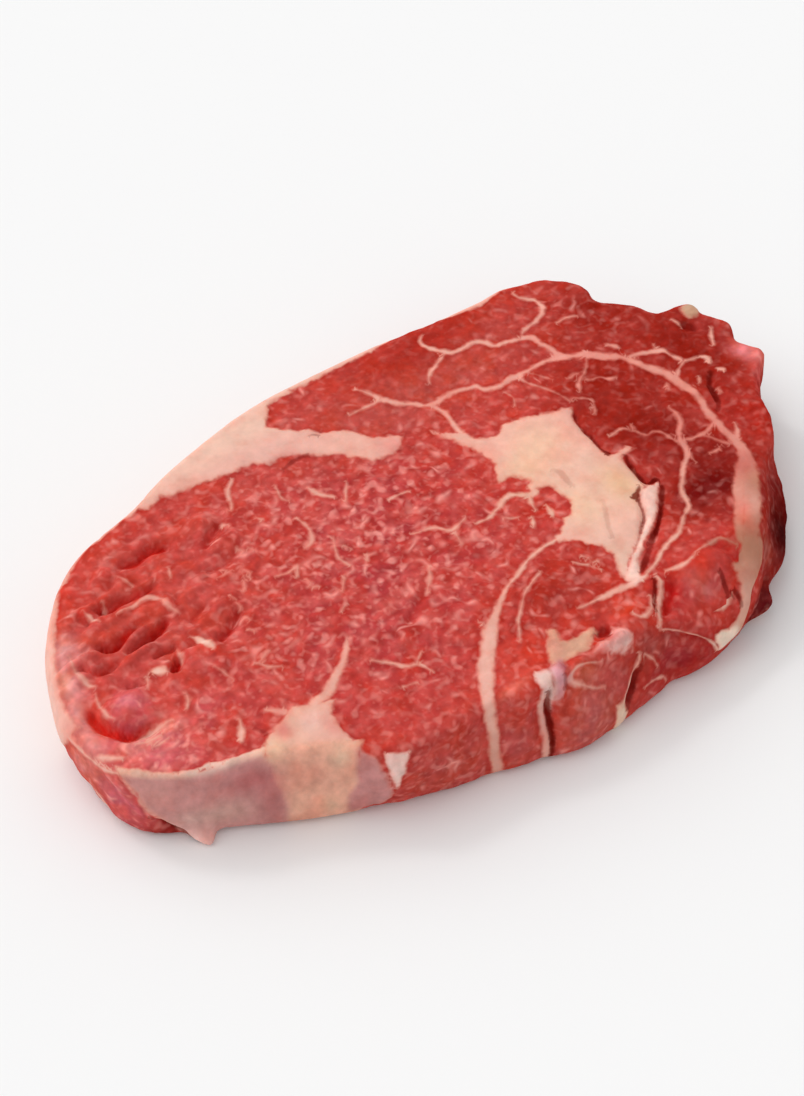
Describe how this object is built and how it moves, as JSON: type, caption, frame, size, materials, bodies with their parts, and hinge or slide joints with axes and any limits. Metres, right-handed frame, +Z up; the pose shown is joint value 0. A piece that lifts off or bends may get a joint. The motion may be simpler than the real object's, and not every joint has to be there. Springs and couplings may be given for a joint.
{
  "type": "raw ribeye steak",
  "caption": "Raw boneless ribeye steak: a thick marbled slab with an oval eye, a crescent-shaped cap, a lump of fat between them, a ragged cap end and a fat rim.",
  "frame": {"origin": "middle of the steak's box, on the surface that it lies on", "axes": "+X along the steak from the rounded end of the eye to the ragged end of the cap, +Y across it towards the side with the fat rim, +Z up through its thickness"},
  "size_m": [0.22, 0.129, 0.0275],
  "materials": {
    "raw_meat": "moist"
  },
  "bodies": {
    "root": {"steak": "raw_meat"}
  },
  "joints": []
}
